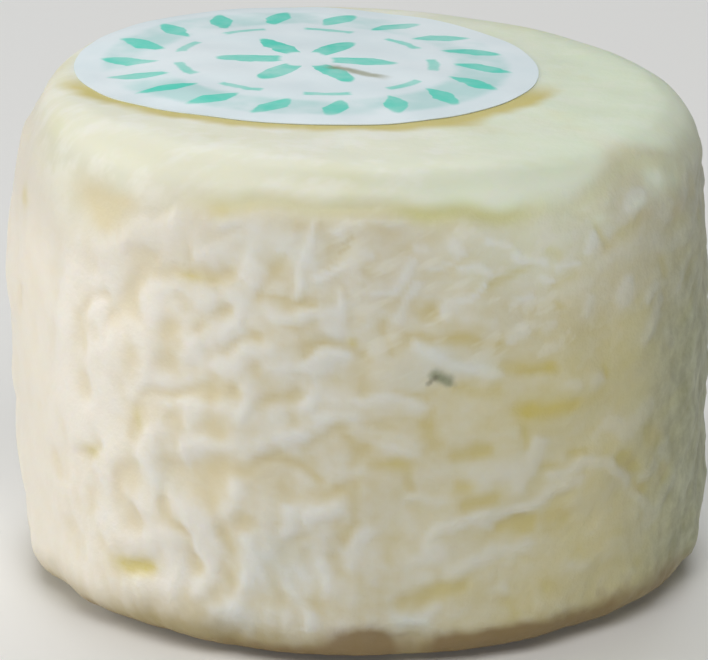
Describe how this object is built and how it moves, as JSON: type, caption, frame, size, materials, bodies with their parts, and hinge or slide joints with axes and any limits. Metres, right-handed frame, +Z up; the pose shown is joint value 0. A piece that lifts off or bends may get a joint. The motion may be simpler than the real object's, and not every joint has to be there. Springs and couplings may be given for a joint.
{
  "type": "crottin cheese",
  "caption": "Small drum-shaped goat's milk cheese with a wrinkled ivory rind, a smooth cap and a round paper label on top.",
  "frame": {"origin": "centre of the flat foot, on the surface that the cheese stands on", "axes": "+Z up along the drum's axis; -Y faces the shown side; +X to the right of it, the side that the cap leans down to"},
  "size_m": [0.0609, 0.0607, 0.0445],
  "materials": {
    "rind": "matt, moist and wrinkled; ivory ridges over straw-coloured folds, standing in for cheese rind",
    "label_paper": "smooth bluish-white paper with a pale turquoise print"
  },
  "bodies": {
    "root": {"cheese": "rind", "paper_label": "label_paper"}
  },
  "joints": []
}
